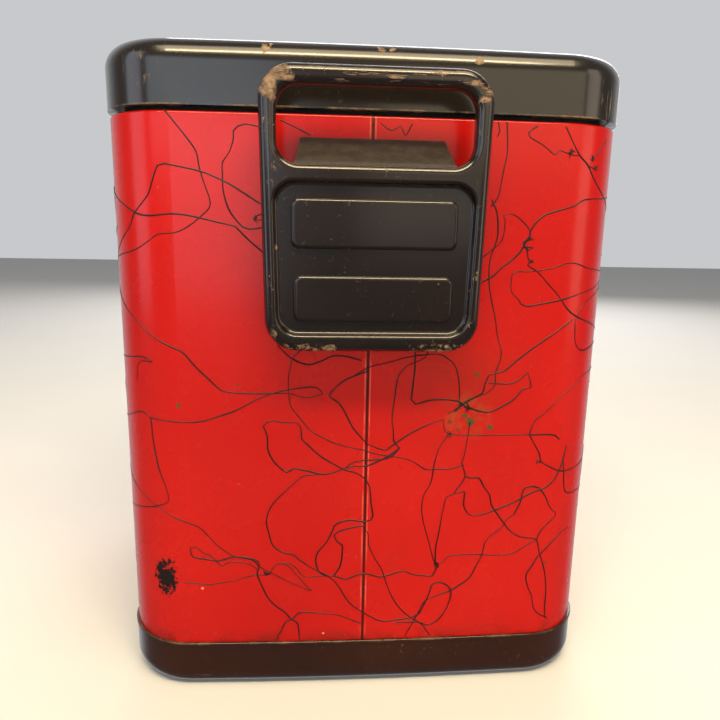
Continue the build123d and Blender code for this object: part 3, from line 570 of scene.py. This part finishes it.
paint("lid_cap", black_enamel("lid_black", (0.009, 0.007, 0.005), (0.016, 0.011, 0.008), lid_wear))
paint("base_pan", black_enamel("pan_black", (0.026, 0.006, 0.001), (0.040, 0.010, 0.002), pan_wear))
plate_black = black_enamel("plate_black", (0.008, 0.004, 0.002), (0.016, 0.007, 0.004), plate_wear,
                           tab_dust)
paint("handle_front", plate_black)
paint("handle_rear", plate_black)


# ---- Liner, lid pan and brackets ----
# Tinned sheet, dull and brushed along the way it was rolled, with grey spangles and fine scratches.

def tinned(name):
    f = Finish(name)
    inputs = {"Vector": f.place, "Scale": 130.0}
    spangle = f.add("ShaderNodeTexVoronoi", {"feature": "F1"}, inputs, out="Color")
    tone = f.add("ShaderNodeRGBToBW", {}, {0: spangle})
    colour = f.mix(tone * 0.6 + f.noise(25) * 0.4, (0.42, 0.42, 0.41), (0.60, 0.60, 0.58))
    scratch = f.noise(60, 6, 0.7, stretch=(1, 1, 22)).rises(0.45, 0.75)
    return f.finish({"Base Color": colour, "Roughness": 0.30 + scratch * 0.16,
                     "Normal": f.bump(scratch, 0.04)}, metallic=1.0)


tin = tinned("tinned_sheet")
for node in ("liner", "lid_pan", "bracket_front", "bracket_rear"):
    paint(node, tin)


# ---- Hinges, latch and rivets ----
# Nickel-plated steel, dulled, with tarnish in the corners.

def nickel(name):
    f = Finish(name)
    haze = f.noise(150, 5, 0.6)
    colour = f.mix(haze.rises(0.35, 0.75), (0.56, 0.54, 0.50), (0.36, 0.33, 0.28))
    spots = f.noise(600, 2).rises(0.68, 0.74)
    colour = f.mix(spots, colour, (0.16, 0.10, 0.06))
    return f.finish({"Base Color": colour, "Roughness": 0.26 + haze * 0.2 + spots * 0.3,
                     "Metallic": 1 - spots * 0.6, "Normal": f.bump(haze - spots, 0.06)})


plated = nickel("dull_nickel")
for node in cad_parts:
    if node.startswith(("hinge", "latch", "keeper", "bracket_rivets")):
        paint(node, plated)


# ---- Gasket and insulation ----
# Black rubber ring under the lid, and yellow glass wool inside the walls.

def rubber():
    f = Finish("gasket_rubber")
    bloom = f.noise(200, 4)
    colour = f.mix(bloom.rises(0.4, 0.8), (0.018, 0.018, 0.018), (0.045, 0.043, 0.040))
    return f.finish({"Base Color": colour, "Roughness": 0.6 + bloom * 0.2, "Normal": f.bump(bloom, 0.2)})


def glass_wool():
    f = Finish("glass_wool")
    fibre = f.noise(300, 8, 0.7, 1.5, stretch=(1, 1, 4))
    colour = f.mix(fibre.rises(0.3, 0.7), (0.72, 0.55, 0.16), (0.86, 0.74, 0.36))
    return f.finish({"Base Color": colour, "Roughness": 0.85 + fibre * 0.1, "Normal": f.bump(fibre, 0.8)})


paint("lid_gasket", rubber())
wool = glass_wool()
for node in ("jacket_insulation", "lid_insulation"):
    paint(node, wool)


# ---- Floor, light and camera ----
# A plain pale floor, soft light, and a camera near the height of the lid.

def pale_floor():
    f = Finish("pale_floor")
    grain = f.noise(8, 3)
    colour = f.mix(grain, (0.80, 0.80, 0.79), (0.84, 0.84, 0.83))
    return f.finish({"Base Color": colour, "Roughness": 0.7 + grain * 0.1})


FLOOR_HALF = 4
floor_mesh = bpy.data.meshes.new("floor")
sheet = bmesh.new()
bmesh.ops.create_grid(sheet, x_segments=1, y_segments=1, size=FLOOR_HALF)
sheet.to_mesh(floor_mesh)
sheet.free()
floor_mesh.materials.append(pale_floor())
floor = bpy.data.objects.new("floor", floor_mesh)
bpy.context.collection.objects.link(floor)
floor.visible_glossy = False


def area_light(name, place, target, size, power, colour, glossy=True):
    lamp = bpy.data.lights.new(name, "AREA")
    lamp.shape = "RECTANGLE"
    lamp.size, lamp.size_y = size
    lamp.energy = power
    lamp.color = colour
    thing = bpy.data.objects.new(name, lamp)
    thing.location = place
    thing.visible_glossy = glossy
    thing.rotation_euler = (Vector(target) - Vector(place)).to_track_quat("-Z", "Y").to_euler()
    bpy.context.collection.objects.link(thing)


area_light("ceiling", (0.05, -0.60, 1.3), (0, -0.1, 0.25), (1.2, 0.6), 11, (1.0, 0.82, 0.56))
area_light("tube", (0.02, -0.75, 1.15), (0, -0.1, 0.25), (0.9, 0.14), 10, (1.0, 0.80, 0.46))
area_light("window", (-1.3, -0.6, 0.6), (0, 0, 0.15), (0.6, 1.2), 3.5, (0.80, 0.86, 1.0))
area_light("lamp", (1.2, -0.7, 0.5), (0, 0, 0.2), (0.5, 1.0), 2.5, (1.0, 0.84, 0.66))
area_light("cool_card", (-0.75, -1.6, 0.72), (0, 0, 0.25), (1.3, 0.6), 4, (0.80, 0.90, 1.0))
area_light("warm_card", (0.75, -1.6, 0.72), (0, 0, 0.25), (1.3, 0.6), 3, (1.0, 0.86, 0.58))
area_light("cool_low", (-0.38, -1.6, 0.26), (-0.06, -0.12, 0.2), (0.40, 0.44), 0.9, (0.82, 0.90, 1.0))
area_light("room_card", (0.28, -1.6, 0.27), (0, -0.15, 0.23), (0.36, 0.15), 0.13, (1.0, 0.92, 0.84))
area_light("front_fill", (0.7, -1.4, 0.35), (0, 0, 0.15), (1.8, 1.0), 2.6, (1.0, 0.90, 0.80), glossy=False)
area_light("back_fill", (0.3, 1.6, 1.0), (0, 0, 0.2), (1.6, 1.0), 18, (1.0, 0.97, 0.94))

world = bpy.data.worlds.new("studio")
world.use_nodes = True
sky = world.node_tree.nodes["Background"]
sky.inputs[0].default_value = (0.96, 0.97, 1.0, 1)
way = world.node_tree.nodes.new("ShaderNodeTexCoord")
split = world.node_tree.nodes.new("ShaderNodeSeparateXYZ")
spread = world.node_tree.nodes.new("ShaderNodeMapRange")
spread.interpolation_type = "SMOOTHSTEP"
# Dim towards -Y, bright behind the box as seen from its seam end.
for key, value in (("From Min", 0.1), ("From Max", 0.7), ("To Min", 0.12), ("To Max", 0.60)):
    spread.inputs[key].default_value = value
world.node_tree.links.new(way.outputs["Generated"], split.inputs[0])
world.node_tree.links.new(split.outputs["Y"], spread.inputs["Value"])
world.node_tree.links.new(spread.outputs[0], sky.inputs[1])
bpy.context.scene.world = world
bpy.context.scene.view_settings.view_transform = "Standard"

LENS, SENSOR = 31.43, 36.0
CAMERA_PLACE = (-0.025, -0.4115, 0.2318)
PITCH, YAW, ROLL = -0.205, -0.074, -0.019
camera_data = bpy.data.cameras.new("camera")
camera_data.lens = LENS
camera_data.sensor_width = SENSOR
camera_data.clip_start = 0.01
camera = bpy.data.objects.new("camera", camera_data)
turn = (Matrix.Rotation(YAW, 4, "Z") @ Matrix.Rotation(PITCH, 4, "X") @ Matrix.Rotation(ROLL, 4, "Y")
        @ Matrix.Rotation(math.pi / 2, 4, "X"))
camera.matrix_world = Matrix.Translation(CAMERA_PLACE) @ turn
bpy.context.collection.objects.link(camera)
bpy.context.scene.camera = camera
